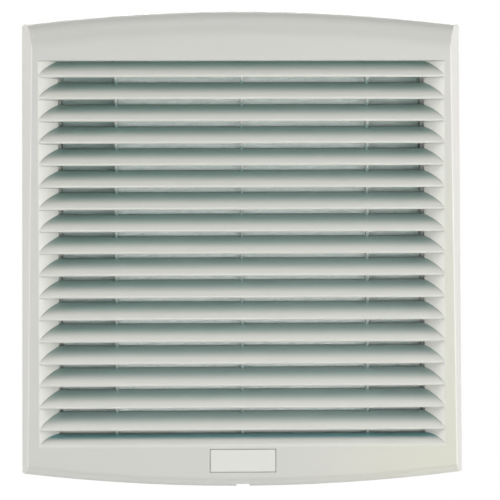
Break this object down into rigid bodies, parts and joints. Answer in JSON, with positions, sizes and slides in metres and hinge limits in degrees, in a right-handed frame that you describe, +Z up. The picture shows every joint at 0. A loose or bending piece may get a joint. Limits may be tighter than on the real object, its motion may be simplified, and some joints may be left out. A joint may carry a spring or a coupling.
{
  "type": "cabinet filter fan",
  "caption": "Louvred filter fan for a cabinet's cut-out: hinged grille cover over a fibre mat, moulded frame with sliding sheet clamps, axial fan and wire guard.",
  "frame": {"origin": "middle of the square cut-out, on the outer face of the cabinet's sheet, which the gasket lies on", "axes": "+X to the right seen from outside, +Y into the cabinet along the fan's axis, +Z up"},
  "size_m": [0.248, 0.1207, 0.268],
  "materials": {
    "cover_plastic": "light grey moulded plastic, fine satin",
    "frame_plastic": "light grey moulded plastic, matt",
    "badge_plastic": "light grey plate, satin, bare",
    "gasket_foam": "black closed-cell foam",
    "mat_fibre": "white bonded fibre",
    "clamp_plastic": "dark grey moulded plastic",
    "fan_casting": "black painted die-casting",
    "lamination_steel": "stacked sheets, dull",
    "coil_wire": "varnished copper wire",
    "bright_steel": "zinc plated",
    "rotor_steel": "drawn sheet, satin",
    "impeller_plastic": "black glass-filled plastic",
    "guard_wire": "bright plated wire",
    "terminal_plastic": "off-white moulded plastic",
    "terminal_brass": "plain brass"
  },
  "bodies": {
    "frame": {"base_frame": "frame_plastic", "panel_gasket": "gasket_foam", "hinge_pins": "bright_steel", "filter_grid": "frame_plastic", "filter_mat": "mat_fibre", "fan_frame": "fan_casting", "stator_core": "lamination_steel", "stator_coils": "coil_wire", "bearing_outer_rings": "bright_steel", "finger_guard": "guard_wire", "fan_screws": "bright_steel", "fan_washers": "bright_steel", "terminal_block": "terminal_plastic", "terminal_clamps": "terminal_brass", "terminal_screws": "bright_steel", "block_screws": "bright_steel"},
    "cover": {"front_cover": "cover_plastic", "badge_plate": "badge_plastic"},
    "rotor": {"impeller": "impeller_plastic", "rotor_cup": "rotor_steel", "rotor_ring": "lamination_steel", "rotor_shaft": "bright_steel", "bearing_inner_rings": "bright_steel", "shaft_clip": "rotor_steel"},
    "clamp_right": {"panel_clamp_right": "clamp_plastic"},
    "clamp_top": {"panel_clamp_top": "clamp_plastic"},
    "clamp_left": {"panel_clamp_left": "clamp_plastic"},
    "clamp_bottom": {"panel_clamp_bottom": "clamp_plastic"}
  },
  "joints": [
    {"name": "cover_hinge", "type": "hinge", "parent": "frame", "child": "cover", "pos_m": [0, -0.012, 0.126], "axis": [-1, 0, 0], "range_deg": [0, 75]},
    {"name": "fan_spin", "type": "hinge", "parent": "frame", "child": "rotor", "pos_m": [0, 0.065, 0], "axis": [0, 1, 0], "continuous": true},
    {"name": "clamp_right_slide", "type": "slide", "parent": "frame", "child": "clamp_right", "axis": [0, 1, 0], "range_m": [-0.0015, 0.012]},
    {"name": "clamp_top_slide", "type": "slide", "parent": "frame", "child": "clamp_top", "axis": [0, 1, 0], "range_m": [-0.0015, 0.012]},
    {"name": "clamp_left_slide", "type": "slide", "parent": "frame", "child": "clamp_left", "axis": [0, 1, 0], "range_m": [-0.0015, 0.012]},
    {"name": "clamp_bottom_slide", "type": "slide", "parent": "frame", "child": "clamp_bottom", "axis": [0, 1, 0], "range_m": [-0.0015, 0.012]}
  ]
}
